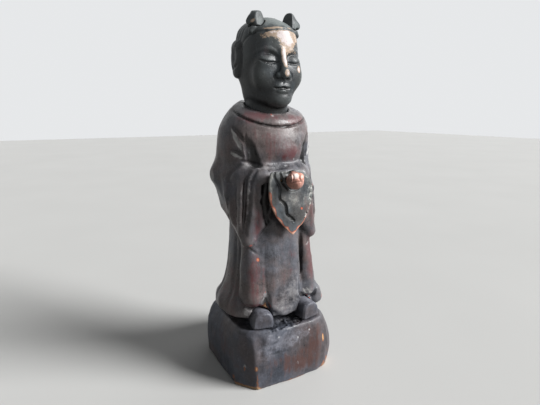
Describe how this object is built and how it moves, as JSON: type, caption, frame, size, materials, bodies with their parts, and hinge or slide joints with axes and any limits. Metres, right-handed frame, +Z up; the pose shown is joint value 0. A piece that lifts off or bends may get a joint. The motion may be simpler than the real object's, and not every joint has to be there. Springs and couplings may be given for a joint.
{
  "type": "carved attendant figure",
  "caption": "Carved wooden attendant figure in a long robe, holding a pointed lotus leaf with a bud, standing on a faceted block plinth.",
  "frame": {"origin": "middle of the plinth's underside", "axes": "+Z up, -Y is where the figure faces, +X is the figure's own left"},
  "size_m": [0.0634, 0.0715, 0.2051],
  "materials": {
    "robe_lacquer": "worn dark red and black lacquer over carved wood",
    "skin_lacquer": "worn near-black lacquer over carved wood",
    "plinth_lacquer": "dull dark brown lacquer over hewn wood",
    "leaf_lacquer": "worn dark red lacquer with orange edges",
    "bud_lacquer": "rubbed orange-pink lacquer",
    "bare_wood": "bare wood",
    "paper": "aged rolled paper",
    "red_thread": "red thread"
  },
  "bodies": {
    "figure": {"plinth": "plinth_lacquer", "plinth_peg_right": "bare_wood", "plinth_peg_left": "bare_wood", "shoe_right": "skin_lacquer", "shoe_left": "skin_lacquer", "robe_block": "robe_lacquer", "head": "skin_lacquer", "hair_tuft_right": "skin_lacquer", "hair_tuft_left": "skin_lacquer", "lotus_leaf": "leaf_lacquer", "lotus_bud": "bud_lacquer", "leaf_peg_right": "bare_wood", "leaf_peg_left": "bare_wood", "prayer_scroll": "paper", "scroll_tie": "red_thread", "neck_peg": "bare_wood"},
    "cover": {"back_cover": "robe_lacquer"}
  },
  "joints": [
    {"name": "cover_pull", "type": "slide", "parent": "figure", "child": "cover", "axis": [0, 1, 0], "range_m": [0, 0.04]}
  ]
}
